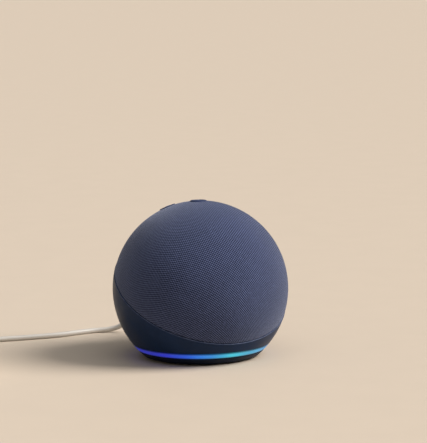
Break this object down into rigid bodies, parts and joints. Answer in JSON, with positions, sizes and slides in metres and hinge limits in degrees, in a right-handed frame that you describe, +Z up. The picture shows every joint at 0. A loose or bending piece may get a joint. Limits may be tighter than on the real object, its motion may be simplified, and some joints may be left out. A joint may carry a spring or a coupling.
{
  "type": "smart speaker",
  "caption": "Ball-shaped smart speaker: leaning fabric dome, dark rear housing, glowing ring above its base, buttons on top, and a supply lead with a wall adapter.",
  "frame": {"origin": "on the table under the middle of the ball, at the underside of the rubber foot", "axes": "+Z up, -Y towards the front where the driver faces, +X to the right seen from the front"},
  "size_m": [0.2147, 0.1589, 0.0889],
  "materials": {
    "knitted_fabric": "fine twill knit, navy, matt",
    "housing_plastic": "fine satin moulding, dark navy",
    "button_plastic": "satin moulding, navy",
    "light_guide": "translucent diffuser, lit blue to cyan",
    "base_plastic": "fine matt moulding, near black",
    "foot_rubber": "matt",
    "black_plastic": "matt moulding, black",
    "cone_paper": "coated pulp, black",
    "surround_rubber": "soft, matt",
    "spider_cloth": "resin-dipped cloth, corrugated",
    "circuit_board": "solder mask over glass fibre",
    "flex_ribbon": "amber film",
    "steel": "zinc or tin plated",
    "blade_metal": "nickel plated",
    "magnet_ferrite": "sintered, dark grey",
    "aluminium": "satin",
    "copper": "enamelled winding wire",
    "lead_plastic": "smooth off-white"
  },
  "bodies": {
    "speaker": {"fabric_cover": "knitted_fabric", "rear_housing": "housing_plastic", "light_ring": "light_guide", "base_plate": "base_plastic", "rubber_foot": "foot_rubber", "grille_shell": "black_plastic", "core_frame": "black_plastic", "acoustic_chamber": "black_plastic", "button_guide": "black_plastic", "power_jack": "black_plastic", "switch_1": "black_plastic", "switch_2": "black_plastic", "switch_3": "black_plastic", "switch_4": "black_plastic", "driver_gasket": "cone_paper", "driver_surround": "surround_rubber", "driver_spider": "spider_cloth", "main_board": "circuit_board", "top_board": "circuit_board", "ring_board": "circuit_board", "top_ribbon": "flex_ribbon", "ring_ribbon": "flex_ribbon", "driver_basket": "steel", "driver_top_plate": "steel", "driver_yoke": "steel", "driver_screw_1": "steel", "driver_screw_2": "steel", "driver_screw_3": "steel", "driver_screw_4": "steel", "base_screw_1": "steel", "base_screw_2": "steel", "base_screw_3": "steel", "frame_screw_1": "steel", "frame_screw_2": "steel", "board_screw_1": "steel", "board_screw_2": "steel", "crown_screw": "steel", "processor_shield": "steel", "microphone_1": "steel", "microphone_2": "steel", "microphone_3": "steel", "driver_magnet": "magnet_ferrite", "heat_spreader": "aluminium", "bulk_capacitor": "aluminium", "speaker_lead": "copper"},
    "action_key": {"action_button": "button_plastic"},
    "volume_up_key": {"volume_up_button": "button_plastic"},
    "mic_off_key": {"mic_off_button": "button_plastic"},
    "volume_down_key": {"volume_down_button": "button_plastic"},
    "diaphragm": {"driver_cone": "cone_paper", "driver_dust_cap": "cone_paper", "driver_voice_coil": "copper"},
    "supply_lead": {"power_plug": "lead_plastic", "strain_relief": "lead_plastic", "power_cord": "lead_plastic", "cord_coil": "lead_plastic", "cord_clip": "black_plastic", "wall_adapter": "lead_plastic", "adapter_blade_1": "blade_metal", "adapter_blade_2": "blade_metal"}
  },
  "joints": [
    {"name": "action_press", "type": "slide", "parent": "speaker", "child": "action_key", "axis": [0, -0.2924, -0.9563], "range_m": [0, 0.0005], "stiffness_N_per_m": 2000, "springref_m": -0.0003},
    {"name": "volume_up_press", "type": "slide", "parent": "speaker", "child": "volume_up_key", "axis": [0, -0.2924, -0.9563], "range_m": [0, 0.0005], "stiffness_N_per_m": 2000, "springref_m": -0.0003},
    {"name": "mic_off_press", "type": "slide", "parent": "speaker", "child": "mic_off_key", "axis": [0, -0.2924, -0.9563], "range_m": [0, 0.0005], "stiffness_N_per_m": 2000, "springref_m": -0.0003},
    {"name": "volume_down_press", "type": "slide", "parent": "speaker", "child": "volume_down_key", "axis": [0, -0.2924, -0.9563], "range_m": [0, 0.0005], "stiffness_N_per_m": 2000, "springref_m": -0.0003},
    {"name": "cone_stroke", "type": "slide", "parent": "speaker", "child": "diaphragm", "axis": [0, -1, 0], "range_m": [-0.0012, 0.0012], "stiffness_N_per_m": 1500, "deforming": ["driver_surround", "driver_spider"]},
    {"name": "plug_pull", "type": "slide", "parent": "speaker", "child": "supply_lead", "axis": [0, 1, 0], "range_m": [0, 0.012]}
  ]
}
